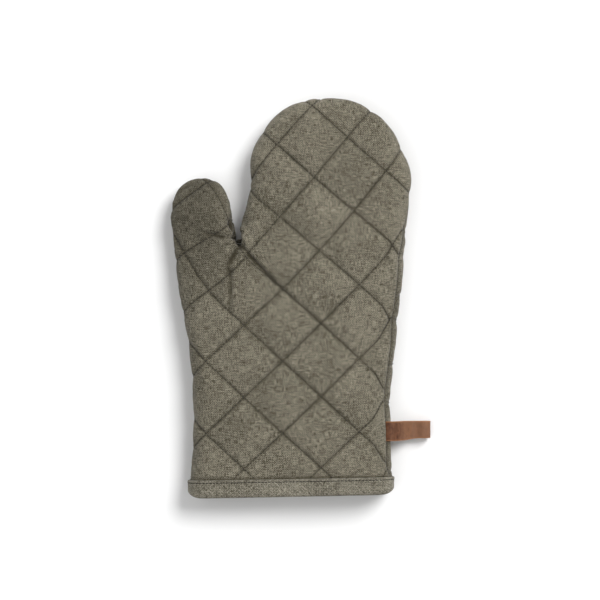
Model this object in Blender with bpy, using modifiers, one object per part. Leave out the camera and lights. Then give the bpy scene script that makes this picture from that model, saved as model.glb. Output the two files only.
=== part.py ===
"""Quilted oven mitt, lying palm up: two quilted panels sewn together round a hand and thumb pocket, a bound
cuff and a leather hanging loop.

Pattern coordinates: x = 0 near the middle of the cuff, y = 0 at the cuff's cut edge with the fingers towards
+Y, and z = 0 in the plane of the seam with the palm towards +Z. The root empty puts the pattern's box with its
bottom centre at the world's origin. All lengths are in metres.
"""

import math

import bmesh
import bpy
from mathutils import Vector
from mathutils.geometry import interpolate_bezier

MM = 0.001

# Sheets, from the outside in. Neighbouring sheets keep a small gap, because they are separate solids.
GAP = 0.3 * MM
OUTER_THICKNESS = 0.7 * MM
WADDING_THICKNESS = 4.0 * MM
LINING_THICKNESS = 0.6 * MM
WALL = OUTER_THICKNESS + WADDING_THICKNESS + LINING_THICKNESS + 2 * GAP

# The side of the mitt is half round, and its palm and back are flat.
RIM_RADIUS = 14.0 * MM
RIM_STEPS = 3
SEAM_HALF_GAP = 0.5 * MM
MOST_TURN = math.radians(18)

# Seen from above, in millimetres: up the little side of the thumb to the crotch, then round the fingers.
CUFF_STRAIGHT = 13.0
THUMB_SIDE = (
    (-76.0, 0), (-76.0, CUFF_STRAIGHT), (-74.2, 60), (-76.5, 104), (-84.0, 150), (-90.0, 196),
    (-91.3, 214), (-86.8, 229.5), (-77.0, 238.5), (-65.0, 241.5), (-54.0, 237.5), (-47.5, 228), (-42.6, 212),
)
FINGER_SIDE = (
    (-36.2, 212), (-31.3, 234), (-30.4, 255), (-22.0, 275), (-7.0, 291), (12.0, 300), (32.0, 301),
    (54.0, 296), (73.0, 282), (85.0, 262), (91.8, 240), (89.0, 214), (86.0, 180), (81.0, 130), (75.6, 75),
    (77.0, CUFF_STRAIGHT), (77.0, 0),
)
CROTCH = Vector((-39.0, 197.0)) * MM
CROTCH_RADIUS = 0.9 * MM
CROTCH_STEPS = 6

# The mitt bends across its fingers, and at the root of the thumb along a line through the crotch.
FINGER_FOLD_Y = 228.0 * MM
THUMB_FOLD_ANGLE = math.radians(53)
FOLD_HALF_GAP = 0.3 * MM

# Diamond quilting: half a diamond's width and height, one crossing, and the thread.
DIAMOND_HALF = Vector((28.8, 27.2)) * MM
QUILT_CROSSING = Vector((-6.0, 47.6)) * MM
THREAD_WIDTH = 0.9 * MM
THREAD_THICKNESS = 0.4 * MM
QUILT_MARGIN = 1.0 * MM

# Cuff binding: a folded tape over the cuff's edge, all round the mouth.
BINDING_THICKNESS = 0.6 * MM
BINDING_DEPTH = 12.0 * MM

# Seam thread, a ribbon in the groove between the two panels.
SEAM_RIBBON = (0.8 * MM, 3.3 * MM)

# Leather hanging loop: a strap folded to a teardrop, lying at rest just above the surface.
STRAP_THICKNESS = 1.5 * MM
STRAP_WIDTH = 15.0 * MM
LOOP_EYE_RADIUS = 3.3 * MM
LOOP_Y = 49.0 * MM
LOOP_TIP_X = 105.5 * MM
LOOP_STEPS = 8

SIDES = {"palm": 1, "back": -1}
SEAM_HEIGHT = RIM_RADIUS + GAP + BINDING_THICKNESS
BIG = 400.0 * MM


# ---------------------------------------------------------------- outline

def smooth_curve(corners):
    """Points along a smooth curve through the corners, closer together where it turns."""
    ends = [corners[0], *corners, corners[-1]]
    tangents = [(after - before) / 2 for before, after in zip(ends[:-2], ends[2:])]
    tangents[0] = corners[1] - corners[0]
    tangents[-1] = corners[-1] - corners[-2]
    points = [corners[0]]
    for (a, b), (leave, arrive) in zip(zip(corners, corners[1:]), zip(tangents, tangents[1:])):
        steps = max(1, math.ceil(leave.angle(arrive) / MOST_TURN))
        points += interpolate_bezier(a, a + leave / 3, b - arrive / 3, b, steps + 1)[1:]
    return points


def mitt_outline():
    """The seam's course from the cuff, round the thumb and fingers, to the cuff again."""
    thumb_side = smooth_curve([Vector(p) * MM for p in THUMB_SIDE])
    finger_side = smooth_curve([Vector(p) * MM for p in FINGER_SIDE])
    crotch = []
    for step in range(CROTCH_STEPS + 1):
        angle = math.pi * (1 + step / CROTCH_STEPS)
        crotch.append(CROTCH + CROTCH_RADIUS * Vector((math.cos(angle), math.sin(angle))))
    return thumb_side + crotch + finger_side


def inward_normals(outline):
    normals = []
    for index in range(len(outline)):
        before = outline[max(index - 1, 0)]
        after = outline[min(index + 1, len(outline) - 1)]
        along = (after - before).normalized()
        normals.append(Vector((along.y, -along.x)))
    normals[0] = Vector((1, 0))
    normals[-1] = Vector((-1, 0))
    return normals


OUTLINE = mitt_outline()
NORMALS = inward_normals(OUTLINE)


def inset(distance):
    return [point + normal * distance for point, normal in zip(OUTLINE, NORMALS)]


# ---------------------------------------------------------------- helpers

def clear_scene():
    for obj in list(bpy.data.objects):
        bpy.data.objects.remove(obj, do_unlink=True)


def new_collection(name):
    collection = bpy.data.collections.new(name)
    bpy.context.scene.collection.children.link(collection)
    return collection


def make_material(name, color, roughness):
    material = bpy.data.materials.new(name)
    material.use_nodes = True
    shader = material.node_tree.nodes["Principled BSDF"]
    shader.inputs["Base Color"].default_value = (*color, 1)
    shader.inputs["Roughness"].default_value = roughness
    shader.inputs["Metallic"].default_value = 0
    return material


def mesh_from(bm, name):
    bmesh.ops.recalc_face_normals(bm, faces=bm.faces)
    mesh = bpy.data.meshes.new(name)
    bm.to_mesh(mesh)
    bm.free()
    return mesh


def loft(rings, closed, cap=False):
    """Quads between rings of the same number of points, and a face inside the last ring."""
    bm = bmesh.new()
    rows = [[bm.verts.new(point) for point in ring] for ring in rings]
    count = len(rows[0])
    for low, high in zip(rows, rows[1:]):
        for index in range(count if closed else count - 1):
            following = (index + 1) % count
            bm.faces.new((low[index], low[following], high[following], high[index]))
    if cap:
        bm.faces.new(rows[-1])
    return bm


def prism(corners, low, high):
    """A flat outline drawn up from z = low to z = high."""
    bm = bmesh.new()
    floor = bm.faces.new([bm.verts.new((x, y, low)) for x, y in corners])
    raised = bmesh.ops.extrude_face_region(bm, geom=[floor])["geom"]
    top = [item for item in raised if isinstance(item, bmesh.types.BMVert)]
    bmesh.ops.translate(bm, verts=top, vec=(0, 0, high - low))
    return bm


def add_solidify(obj, thickness):
    solidify = obj.modifiers.new("Sheet", "SOLIDIFY")
    solidify.thickness = thickness
    solidify.offset = 0
    solidify.use_even_offset = True


def add_boolean(obj, cutter, operation):
    boolean = obj.modifiers.new(cutter.name, "BOOLEAN")
    boolean.operation = operation
    boolean.object = cutter


class Mitt:
    """The collections, the root empty and the pivots that every piece hangs on."""

    def __init__(self):
        self.parts = new_collection("oven_mitt")
        self.cutters = new_collection("cutters")
        self.root = self.empty("mitt_root", None)
        self.pivots = {"hand": self.root}

    def empty(self, name, parent):
        marker = bpy.data.objects.new(name, None)
        marker.empty_display_size = 0.02
        marker.parent = parent
        self.parts.objects.link(marker)
        return marker

    def add_pivot(self, body, place):
        self.pivots[body] = self.empty(f"{body}_pivot", self.root)
        self.pivots[body].location = place

    def piece(self, name, mesh, material, body):
        obj = bpy.data.objects.new(name, mesh)
        obj.data.materials.clear()
        obj.data.materials.append(material)
        obj.parent = self.pivots[body]
        if body != "hand":
            obj.location = -self.pivots[body].location
        self.parts.objects.link(obj)
        return obj

    def cutter(self, name, bm):
        obj = bpy.data.objects.new(name, mesh_from(bm, name))
        obj.parent = self.root
        obj.hide_render = True
        obj.display_type = "WIRE"
        self.cutters.objects.link(obj)
        return obj


# ---------------------------------------------------------------- zones of the mitt

def fold_direction():
    """Along the thumb's fold line, from the little side up to the crotch."""
    return Vector((math.cos(THUMB_FOLD_ANGLE), math.sin(THUMB_FOLD_ANGLE)))


def towards_thumb():
    along = fold_direction()
    return Vector((-along.y, along.x))


def zone_outlines():
    """What of the plan belongs to the hand, the fingers and the thumb, with a gap along each fold."""
    clear = towards_thumb() * FOLD_HALF_GAP
    past_side = CROTCH - fold_direction() * BIG
    low_y = FINGER_FOLD_Y - FOLD_HALF_GAP
    high_y = FINGER_FOLD_Y + FOLD_HALF_GAP
    notch_x = CROTCH.x
    return {
        "hand": (
            CROTCH - clear, past_side - clear, (past_side.x, -BIG), (BIG, -BIG), (BIG, low_y), (notch_x, low_y),
        ),
        "fingers": ((notch_x, high_y), (BIG, high_y), (BIG, BIG), (notch_x, BIG)),
        "thumb": (CROTCH + clear, (notch_x, BIG), (past_side.x, BIG), past_side + clear),
    }


def add_zone_cutters(mitt, panel):
    """Prisms of the zones' outlines over or under the seam, which trim a panel's sheets."""
    low, high = sorted((SIDES[panel] * SEAM_HALF_GAP, SIDES[panel] * BIG / 4))
    return {
        zone: mitt.cutter(f"{panel}_{zone}_zone", prism(corners, low, high))
        for zone, corners in zone_outlines().items()
    }


def zone_of(point):
    if point.x > CROTCH.x:
        return "fingers" if point.y > FINGER_FOLD_Y else "hand"
    return "thumb" if (point - CROTCH).dot(towards_thumb()) > 0 else "hand"


# ---------------------------------------------------------------- panels

def add_panel_sheet(mitt, name, side, depth, thickness, material, zones):
    """One sheet of a panel: its rim, from past the seam where the zones trim it, then its flat."""
    radius = RIM_RADIUS - depth - thickness / 2
    past_seam = -side * RIM_RADIUS / 4
    rings = [[(x, y, past_seam) for x, y in inset(RIM_RADIUS - radius)]]
    for step in range(RIM_STEPS + 1):
        angle = math.pi / 2 * step / RIM_STEPS
        height = side * radius * math.sin(angle)
        rings.append([(x, y, height) for x, y in inset(RIM_RADIUS - radius * math.cos(angle))])
    mesh = mesh_from(loft(rings, closed=False, cap=True), name)
    for zone, cutter in zones.items():
        obj = mitt.piece(f"{name}_{zone}", mesh.copy(), material, zone)
        add_solidify(obj, thickness)
        add_boolean(obj, cutter, "INTERSECT")


def add_panels(mitt, materials, zones):
    sheets = (
        ("outer", OUTER_THICKNESS),
        ("wadding", WADDING_THICKNESS),
        ("lining", LINING_THICKNESS),
    )
    for panel, side in SIDES.items():
        depth = 0
        for sheet, thickness in sheets:
            add_panel_sheet(mitt, f"{panel}_{sheet}", side, depth, thickness, materials[sheet], zones[panel])
            depth += thickness + GAP


# ---------------------------------------------------------------- threads

def diamond_cutter(mitt):
    """Every diamond between the quilting lines, as one row of prisms after another."""
    across, up = DIAMOND_HALF
    narrowest = across * up / DIAMOND_HALF.length
    shrink = (narrowest - THREAD_WIDTH / 2) / narrowest
    bm = bmesh.new()
    for row in range(-3, 12):
        for column in range(-4, 5):
            if (row + column) % 2 == 0:
                continue
            made = bmesh.ops.create_cone(
                bm, cap_ends=True, segments=4, radius1=1, radius2=1, depth=4 * RIM_RADIUS
            )["verts"]
            bmesh.ops.scale(bm, verts=made, vec=(across * shrink, up * shrink, 1))
            centre = QUILT_CROSSING + Vector((column * across, row * up))
            bmesh.ops.translate(bm, verts=made, vec=(*centre, 0))
    return mitt.cutter("diamonds", bm)


def keep_connected_net(obj):
    """Makes the cuts final, and drops the short thread ends that they part from the net."""
    bpy.context.view_layer.update()
    bm = bmesh.new()
    bm.from_object(obj, bpy.context.evaluated_depsgraph_get())
    nets = []
    waiting = set(bm.verts)
    while waiting:
        net = [waiting.pop()]
        for vert in net:
            reached = {edge.other_vert(vert) for edge in vert.link_edges} & waiting
            waiting -= reached
            net += reached
        nets.append(net)
    largest = max(nets, key=len)
    for net in nets:
        if net is not largest:
            bmesh.ops.delete(bm, geom=net, context="VERTS")
    obj.modifiers.clear()
    bm.to_mesh(obj.data)
    bm.free()


def add_quilting(mitt, material, zones):
    diamonds = diamond_cutter(mitt)
    flat = [point for point in inset(RIM_RADIUS + QUILT_MARGIN) if point.y > BINDING_DEPTH]
    start, end = flat[0], flat[-1]
    above_binding = BINDING_DEPTH + 2 * QUILT_MARGIN
    flat = [Vector((start.x, above_binding)), *flat[1:-1], Vector((end.x, above_binding))]
    base = RIM_RADIUS + GAP
    for panel, side in SIDES.items():
        low, high = sorted((side * base, side * (base + THREAD_THICKNESS)))
        mesh = mesh_from(prism(flat, low, high), f"{panel}_quilting")
        for zone, cutter in zones[panel].items():
            obj = mitt.piece(f"{panel}_quilting_{zone}", mesh.copy(), material, zone)
            add_boolean(obj, diamonds, "DIFFERENCE")
            add_boolean(obj, cutter, "INTERSECT")
            keep_connected_net(obj)


def add_seam_threads(mitt, material):
    """The seam between the panels, one ribbon for each stretch of it that stays in one zone."""
    outer, inner = (inset(distance) for distance in SEAM_RIBBON)
    names = iter(("left", "thumb", "crotch", "fingers", "right"))
    start = 0
    for index in range(1, len(OUTLINE) + 1):
        if index < len(OUTLINE) and zone_of(OUTLINE[index]) == zone_of(OUTLINE[start]):
            continue
        stretch = slice(start, index)
        rings = [[(x, y, 0) for x, y in row[stretch]] for row in (outer, inner)]
        name = f"seam_thread_{next(names)}"
        mesh = mesh_from(loft(rings, closed=False), name)
        obj = mitt.piece(name, mesh, material, zone_of(OUTLINE[start]))
        add_solidify(obj, THREAD_THICKNESS)
        start = index


# ---------------------------------------------------------------- cuff

def mouth_ring(offset, y):
    """The cuff's section, a slot with half-round ends, offset outwards from the outer fabric's face."""
    ring = []
    for end, turn in ((OUTLINE[-1].x - RIM_RADIUS, -math.pi / 2), (OUTLINE[0].x + RIM_RADIUS, math.pi / 2)):
        for step in range(2 * RIM_STEPS + 1):
            angle = turn + math.pi * step / (2 * RIM_STEPS)
            radius = RIM_RADIUS + offset
            ring.append((end + radius * math.cos(angle), y, radius * math.sin(angle)))
    return ring


def add_binding(mitt, materials):
    middle = GAP + BINDING_THICKNESS / 2
    outside, inside = middle, -WALL - middle
    rings = (
        mouth_ring(outside, BINDING_DEPTH),
        mouth_ring(outside, -middle),
        mouth_ring(inside, -middle),
        mouth_ring(inside, BINDING_DEPTH),
    )
    binding = mitt.piece("cuff_binding", mesh_from(loft(rings, closed=True), "binding"), materials["binding"], "hand")
    add_solidify(binding, BINDING_THICKNESS)

    stitch_low = BINDING_DEPTH + GAP
    offset = GAP + THREAD_THICKNESS / 2
    rings = (mouth_ring(offset, stitch_low), mouth_ring(offset, stitch_low + THREAD_THICKNESS))
    stitching = mitt.piece("binding_stitching", mesh_from(loft(rings, closed=True), "stitch"), materials["thread"], "hand")
    add_solidify(stitching, THREAD_THICKNESS)


# ---------------------------------------------------------------- hanging loop

def belt(near_radius, far_radius, length):
    """The outline round two circles, the near one at the origin and the far one at x = length."""
    tilt = math.asin((far_radius - near_radius) / length)
    half = math.pi / 2 + tilt
    points = []
    for step in range(2 * LOOP_STEPS + 1):
        angle = -half + 2 * half * step / (2 * LOOP_STEPS)
        points.append((length + far_radius * math.cos(angle), far_radius * math.sin(angle)))
    if near_radius == 0:
        return [*points, (0, 0)]
    for step in range(LOOP_STEPS + 1):
        angle = half + (2 * math.pi - 2 * half) * step / LOOP_STEPS
        points.append((near_radius * math.cos(angle), near_radius * math.sin(angle)))
    return points


def edge_x_at(y):
    """Where the fingers' side of the outline is at this height above the cuff."""
    right = [point for point in OUTLINE if point.x > 0]
    above = min((point for point in right if point.y >= y), key=lambda point: point.y)
    below = max((point for point in right if point.y < y), key=lambda point: point.y)
    return below.x + (above.x - below.x) * (y - below.y) / (above.y - below.y)


def loop_layout():
    """The swing axis's place, the loop's length from it to the eye's centre, and how far it slopes down."""
    outer_radius = LOOP_EYE_RADIUS + STRAP_THICKNESS
    widest = max(edge_x_at(LOOP_Y - STRAP_WIDTH / 2), edge_x_at(LOOP_Y + STRAP_WIDTH / 2))
    axis_x = widest + GAP + STRAP_THICKNESS
    along = LOOP_TIP_X - outer_radius - axis_x
    drop = SEAM_HEIGHT - outer_radius - GAP
    return Vector((axis_x, LOOP_Y, 0)), math.hypot(along, drop), math.atan2(drop, along)


def add_loop(mitt, material):
    axis, length, slope = loop_layout()
    curve = bpy.data.curves.new("loop_section", "CURVE")
    curve.dimensions = "2D"
    curve.fill_mode = "BOTH"
    curve.extrude = STRAP_WIDTH / 2
    eye_start = length * 0.35
    outer = belt(STRAP_THICKNESS, LOOP_EYE_RADIUS + STRAP_THICKNESS, length)
    inner = [(x + eye_start, y) for x, y in belt(0, LOOP_EYE_RADIUS, length - eye_start)]
    for outline in (outer, inner):
        spline = curve.splines.new("POLY")
        spline.points.add(len(outline) - 1)
        for point, (x, y) in zip(spline.points, outline):
            point.co = (x, y, 0, 1)
        spline.use_cyclic_u = True
    curve.materials.append(material)
    loop = bpy.data.objects.new("hanging_loop", curve)
    loop.parent = mitt.pivots["loop"]
    loop.rotation_euler = (math.pi / 2, slope, 0)
    mitt.parts.objects.link(loop)


# ---------------------------------------------------------------- assembly

def main():
    clear_scene()
    materials = {
        "outer": make_material("melange_cloth", (0.200, 0.178, 0.135), 0.9),
        "wadding": make_material("white_wadding", (0.820, 0.810, 0.780), 1.0),
        "lining": make_material("natural_cotton", (0.640, 0.590, 0.490), 0.9),
        "thread": make_material("olive_thread", (0.070, 0.057, 0.036), 0.7),
        "binding": make_material("bias_tape", (0.215, 0.203, 0.154), 0.9),
        "leather": make_material("brown_leather", (0.160, 0.070, 0.035), 0.5),
    }
    mitt = Mitt()
    palm_face = RIM_RADIUS + GAP + THREAD_THICKNESS
    mitt.add_pivot("fingers", (0, FINGER_FOLD_Y, palm_face))
    mitt.add_pivot("thumb", (*CROTCH, palm_face))
    mitt.add_pivot("loop", loop_layout()[0])

    zones = {panel: add_zone_cutters(mitt, panel) for panel in SIDES}
    add_panels(mitt, materials, zones)
    add_quilting(mitt, materials["thread"], zones)
    add_seam_threads(mitt, materials["thread"])
    add_binding(mitt, materials)
    add_loop(mitt, materials["leather"])

    left = min(point.x for point in OUTLINE)
    top = max(point.y for point in OUTLINE)
    bottom = -GAP - BINDING_THICKNESS
    mitt.root.location = (-(left + LOOP_TIP_X) / 2, -(top + bottom) / 2, SEAM_HEIGHT)


main()
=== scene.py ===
import math

import bmesh
import bpy
import numpy as np
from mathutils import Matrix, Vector, noise
from mathutils.bvhtree import BVHTree
from mathutils.geometry import delaunay_2d_cdt, interpolate_bezier
from mathutils.kdtree import KDTree


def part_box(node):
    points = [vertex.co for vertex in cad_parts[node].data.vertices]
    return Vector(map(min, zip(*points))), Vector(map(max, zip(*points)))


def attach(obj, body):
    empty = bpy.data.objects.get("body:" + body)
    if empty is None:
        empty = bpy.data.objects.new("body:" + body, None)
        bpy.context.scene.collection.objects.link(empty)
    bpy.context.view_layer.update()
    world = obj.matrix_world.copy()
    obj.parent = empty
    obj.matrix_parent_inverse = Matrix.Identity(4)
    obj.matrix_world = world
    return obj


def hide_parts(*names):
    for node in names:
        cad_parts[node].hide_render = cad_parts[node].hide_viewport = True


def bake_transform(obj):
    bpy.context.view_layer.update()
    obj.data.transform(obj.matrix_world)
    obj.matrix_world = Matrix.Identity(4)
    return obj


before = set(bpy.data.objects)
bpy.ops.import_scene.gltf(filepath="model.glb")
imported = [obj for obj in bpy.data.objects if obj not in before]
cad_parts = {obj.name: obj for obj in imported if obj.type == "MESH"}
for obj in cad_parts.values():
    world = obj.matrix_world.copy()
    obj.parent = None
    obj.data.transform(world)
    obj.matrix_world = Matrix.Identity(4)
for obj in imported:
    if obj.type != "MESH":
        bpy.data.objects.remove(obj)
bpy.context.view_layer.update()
MM = 0.001

# ------------------------------------------------------------------ sizes, in millimetres on the pattern
# Pattern coordinates: x = 0 near the middle of the cuff, y = 0 at the cuff's edge, z = 0 at the seam.

CUFF_STRAIGHT = 13.0
THUMB_SIDE = (
    (-76.0, 0), (-76.0, CUFF_STRAIGHT), (-74.2, 60), (-76.5, 104), (-84.0, 150), (-90.0, 196),
    (-91.3, 214), (-86.8, 229.5), (-77.0, 238.5), (-65.0, 241.5), (-54.0, 237.5), (-47.5, 228), (-42.6, 212),
)
FINGER_SIDE = (
    (-36.2, 212), (-31.3, 234), (-30.4, 255), (-22.0, 275), (-7.0, 291), (12.0, 300), (32.0, 301),
    (54.0, 296), (73.0, 282), (85.0, 262), (91.8, 240), (89.0, 214), (86.0, 180), (81.0, 130), (75.6, 75),
    (77.0, CUFF_STRAIGHT), (77.0, 0),
)
CROTCH = np.array([-39.0, 197.0])
CROTCH_RADIUS = 0.9
FOLD_ANGLE = math.radians(53)
FOLD_ALONG = np.array([math.cos(FOLD_ANGLE), math.sin(FOLD_ANGLE)])
TO_THUMB = np.array([-FOLD_ALONG[1], FOLD_ALONG[0]])

RADIUS = 13.2  # of the rounded rim, where each panel turns over to the seam
RIM_SHARE = 0.35  # how much of the rim's extra cloth the quilting's lines show
SEAM_ROLL = math.radians(38)  # how far the seam is rolled up towards the palm beside the loop
OUTLINE_STEP = 2.4
CLOTH_STEP = 2.7
LINING_STEP = 4.5
LINING_RIM_DEPTH = 5.0  # how deep the lining lies under the outer cloth on the rim
ON_LINE = 0.3  # a point this near a quilting line is stitched
ON_SEAM = 0.01  # a point this near the outline is on the seam

# Diamond quilting. The palm's net crosses at QUILT_CROSSING.
DIAMOND_HALF = np.array([28.9, 27.2])
QUILT_CROSSING = np.array([-6.0, 47.6])
BACK_QUILT_SHIFT = np.array([11.0, 9.0])
PANELS = ((1, "palm", np.zeros(2)), (-1, "back", BACK_QUILT_SHIFT))  # side, name, and the shift of its quilting
STITCH_PITCH = 2.6
STITCH_LENGTH = 1.6
STITCH_RADIUS = 0.33
BINDING_DEPTH = 11.6
QUIET_CUFF = 14.0  # below about this the cloth stays flat, at the binding and under it

cuff_low, cuff_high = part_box("cuff_binding")
PATTERN_PLACE = np.array([
    (cuff_low.x + cuff_high.x) / 2 / MM - 0.5,
    cuff_low.y / MM + 0.9,
    (cuff_low.z + cuff_high.z) / 2 / MM,
])
FLOOR = -PATTERN_PLACE[2]
CUFF_TILT = 3.0 / 153
CUFF_LEFT = -76
CURVE_STEPS = 25


def smooth(value):
    value = np.clip(value, 0, 1)
    return value * value * (3 - 2 * value)


def to_world(points):
    """Pattern millimetres to the frame's metres. The cuff's edge is cut a little askew."""
    points = np.array(points, float)
    points[:, 1] += CUFF_TILT * (points[:, 0] - CUFF_LEFT) * smooth(1 - points[:, 1] / 70)
    return (points + PATTERN_PLACE) * MM


# ------------------------------------------------------------------ the outline

def smooth_curve(corners):
    """Points along a smooth curve through the corners."""
    corners = [Vector(corner) for corner in corners]
    ends = [corners[0], *corners, corners[-1]]
    tangents = [(after - before) / 2 for before, after in zip(ends[:-2], ends[2:])]
    tangents[0] = corners[1] - corners[0]
    tangents[-1] = corners[-1] - corners[-2]
    points = [corners[0]]
    for (a, b), (leave, arrive) in zip(zip(corners, corners[1:]), zip(tangents, tangents[1:])):
        points += interpolate_bezier(a, a + leave / 3, b - arrive / 3, b, CURVE_STEPS)[1:]
    return np.array(points)


def lengths_along(points):
    """How far along a course each of its points is."""
    return np.concatenate([[0], np.cumsum(np.linalg.norm(np.diff(points, axis=0), axis=1))])


def evenly(points, step):
    """The same course with its points an even distance apart."""
    lengths = lengths_along(points)
    places = np.linspace(0, lengths[-1], max(2, round(lengths[-1] / step) + 1))
    return np.stack([np.interp(places, lengths, points[:, axis]) for axis in range(points.shape[1])], axis=1)


def mitt_outline():
    turns = np.linspace(math.pi, 2 * math.pi, 9)
    crotch = CROTCH + CROTCH_RADIUS * np.stack([np.cos(turns), np.sin(turns)], axis=1)
    left = np.vstack([smooth_curve(THUMB_SIDE), crotch[:1]])
    right = np.vstack([crotch[-1:], smooth_curve(FINGER_SIDE)])
    return np.vstack([evenly(left, OUTLINE_STEP)[:-1], crotch, evenly(right, OUTLINE_STEP)[1:]])


OUTLINE = mitt_outline()
ALONG = np.gradient(OUTLINE, axis=0)
ALONG /= np.linalg.norm(ALONG, axis=1)[:, None]
NORMALS = np.stack([ALONG[:, 1], -ALONG[:, 0]], axis=1)
NORMALS[0] = (1, 0)
NORMALS[-1] = (-1, 0)


def rim_place(points):
    """For points on the plan: how far inside the outline, the way inwards, and the outline's nearest point."""
    start, way = OUTLINE[:-1], np.diff(OUTLINE, axis=0)
    long = (way**2).sum(axis=1)
    inside, inwards, index = [], [], []
    for part in np.array_split(points, max(1, len(points) // 2000)):
        away = part[:, None] - start[None]
        share = np.clip((away * way).sum(axis=2) / long, 0, 1)
        gap = away - share[..., None] * way
        distance = np.linalg.norm(gap, axis=2)
        nearest = distance.argmin(axis=1)
        rows = np.arange(len(part))
        share, gap, distance = share[rows, nearest], gap[rows, nearest], distance[rows, nearest]
        normal = NORMALS[nearest] * (1 - share)[:, None] + NORMALS[nearest + 1] * share[:, None]
        normal /= np.linalg.norm(normal, axis=1)[:, None]
        sign = np.where((gap * normal).sum(axis=1) >= -1e-9, 1, -1)
        far = distance > 0.4
        normal[far] = gap[far] * (sign / np.maximum(distance, 1e-9))[far, None]
        inside.append(sign * distance)
        inwards.append(normal)
        index.append(nearest + share)
    return np.concatenate(inside), np.concatenate(inwards), np.concatenate(index)


def seam_angle(index):
    """How far up the rim the seam lies, in radians. Along the loop's side the mitt is rolled a little."""
    point = OUTLINE[np.clip(index.astype(int), 0, len(OUTLINE) - 1)]
    rolled = np.where(point[:, 0] > 0, smooth((235 - point[:, 1]) / 60) * smooth((point[:, 1] + 25) / 60), 0)
    return SEAM_ROLL * rolled


def drape(points, side, depth=0.0):
    """Where a plan point of a panel's sheet lies: on the rim it turns over, and inside it is level."""
    inside, inwards, index = rim_place(points)
    inside = np.where(inside < 0.003, 0, inside)
    out = np.clip(RADIUS - inside, 0, RADIUS)
    angle = np.arccos(out / RADIUS)
    seam = seam_angle(index)
    turned = seam + side * angle * (math.pi / 2 - side * seam) / (math.pi / 2)
    reach = RADIUS - depth
    edge = points + inwards * out[:, None]
    flat = edge - inwards * (reach * np.cos(turned) * (out > 0))[:, None]
    height = reach * np.sin(turned)
    return np.column_stack([flat, height])


def rim_extra(inside, share, depth=0.0):
    """How much further cloth at this depth reaches over the rim than the plan does, or a share of it."""
    out = np.clip(RADIUS - inside, 0, RADIUS)
    return share * ((RADIUS - depth) * np.arcsin(out / RADIUS) - out)


def pattern_place(points, share=RIM_SHARE, depth=0.0):
    """Where a plan point lies among the quilting's lines or, with a share of 1, on the flat cloth."""
    inside, inwards, _ = rim_place(points)
    return points - inwards * rim_extra(inside, share, depth)[:, None]


def plan_place(flat):
    """Where points placed among the quilting's lines lie on the plan, and how far inside the outline they are."""
    inside, inwards, _ = rim_place(flat)
    steps = np.linspace(0, RADIUS, 200)
    extra = rim_extra(steps, RIM_SHARE)
    return flat + inwards * np.interp(inside, steps - extra, extra, right=0)[:, None], inside


# ------------------------------------------------------------------ the quilting

def pulled(lattice):
    """Regular lattice points to the cloth, which was pulled a little as it was quilted and cut."""
    x, y = lattice[:, 0], lattice[:, 1]
    narrowing = 5 * smooth((y - 150) / 130) * np.maximum(1 + x / 60, 0)
    thumb = 20 * smooth((y - 140) / 75) * smooth((-25 - x) / 45)
    thumb += 10 * smooth((y - 203) / 36) * smooth((-48 - x) / 30)
    lifted = 0.00035 * np.maximum(x + 6, 0) * y
    dipped = 4 * smooth((y - 130) / 80) * smooth(-x / 40) * smooth((93 + x) / 28)
    return np.column_stack([x - narrowing + thumb, y + lifted - dipped])


def lattice_of(flat):
    """The regular lattice's point for a point of the flat cloth."""
    lattice = flat.copy()
    for _ in range(12):
        lattice += 0.8 * (flat - pulled(lattice))
    return lattice


def quilt_distance(flat, shift):
    """How far a point of the flat cloth is from the nearest quilting line, in millimetres."""
    u = (lattice_of(flat) - QUILT_CROSSING - shift) / DIAMOND_HALF
    across = DIAMOND_HALF.prod() / np.linalg.norm(DIAMOND_HALF)
    gaps = [np.abs((diagonal + 1) % 2 - 1) for diagonal in (u[:, 0] + u[:, 1], u[:, 0] - u[:, 1])]
    return across * np.minimum(*gaps)


def quilt_lines(shift, step):
    """The quilting lines on the plan, each a run of points that are step apart on the cloth."""
    runs = []
    for slope in (1, -1):
        for line in range(-8, 12):
            reach = np.linspace(-9, 13, 900)
            u = np.column_stack([reach, slope * (reach - 2 * line)])
            flat = evenly(pulled(QUILT_CROSSING + shift + u * DIAMOND_HALF), step)
            plan, inside = plan_place(flat)
            kept = (inside > -rim_extra(0.0, RIM_SHARE)) & (plan[:, 1] > 0.5)
            kept &= rim_place(plan)[0] > 0.02
            jump = np.linalg.norm(np.diff(plan, axis=0), axis=1) > 1.3 * step
            breaks = np.flatnonzero((np.diff(kept.astype(int)) != 0) | jump) + 1
            for run in np.split(np.arange(len(plan)), breaks):
                if kept[run[0]] and len(run) > 3:
                    runs.append(plan[run])
    return runs


# ------------------------------------------------------------------ panels

def fold_line(step):
    """The line from the crotch to the little side of the thumb where its cloth starts to bend."""
    reach = np.arange(CROTCH_RADIUS, 90, step)
    points = CROTCH - FOLD_ALONG * reach[:, None]
    inside = rim_place(points)[0]
    points = points[inside > 0.3]
    end = OUTLINE[np.linalg.norm(OUTLINE - (points[-1] - FOLD_ALONG * 2), axis=1).argmin()]
    start = OUTLINE[np.linalg.norm(OUTLINE - points[0], axis=1).argmin()]
    return np.vstack([start, points[1:], end])


def hex_grid(low, high, step):
    rows = np.arange(low[1], high[1], step * math.sqrt(3) / 2)
    columns = np.arange(low[0], high[0], step)
    x, y = np.meshgrid(columns, rows)
    x[1::2] += step / 2
    return np.column_stack([x.ravel(), y.ravel()])


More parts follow.
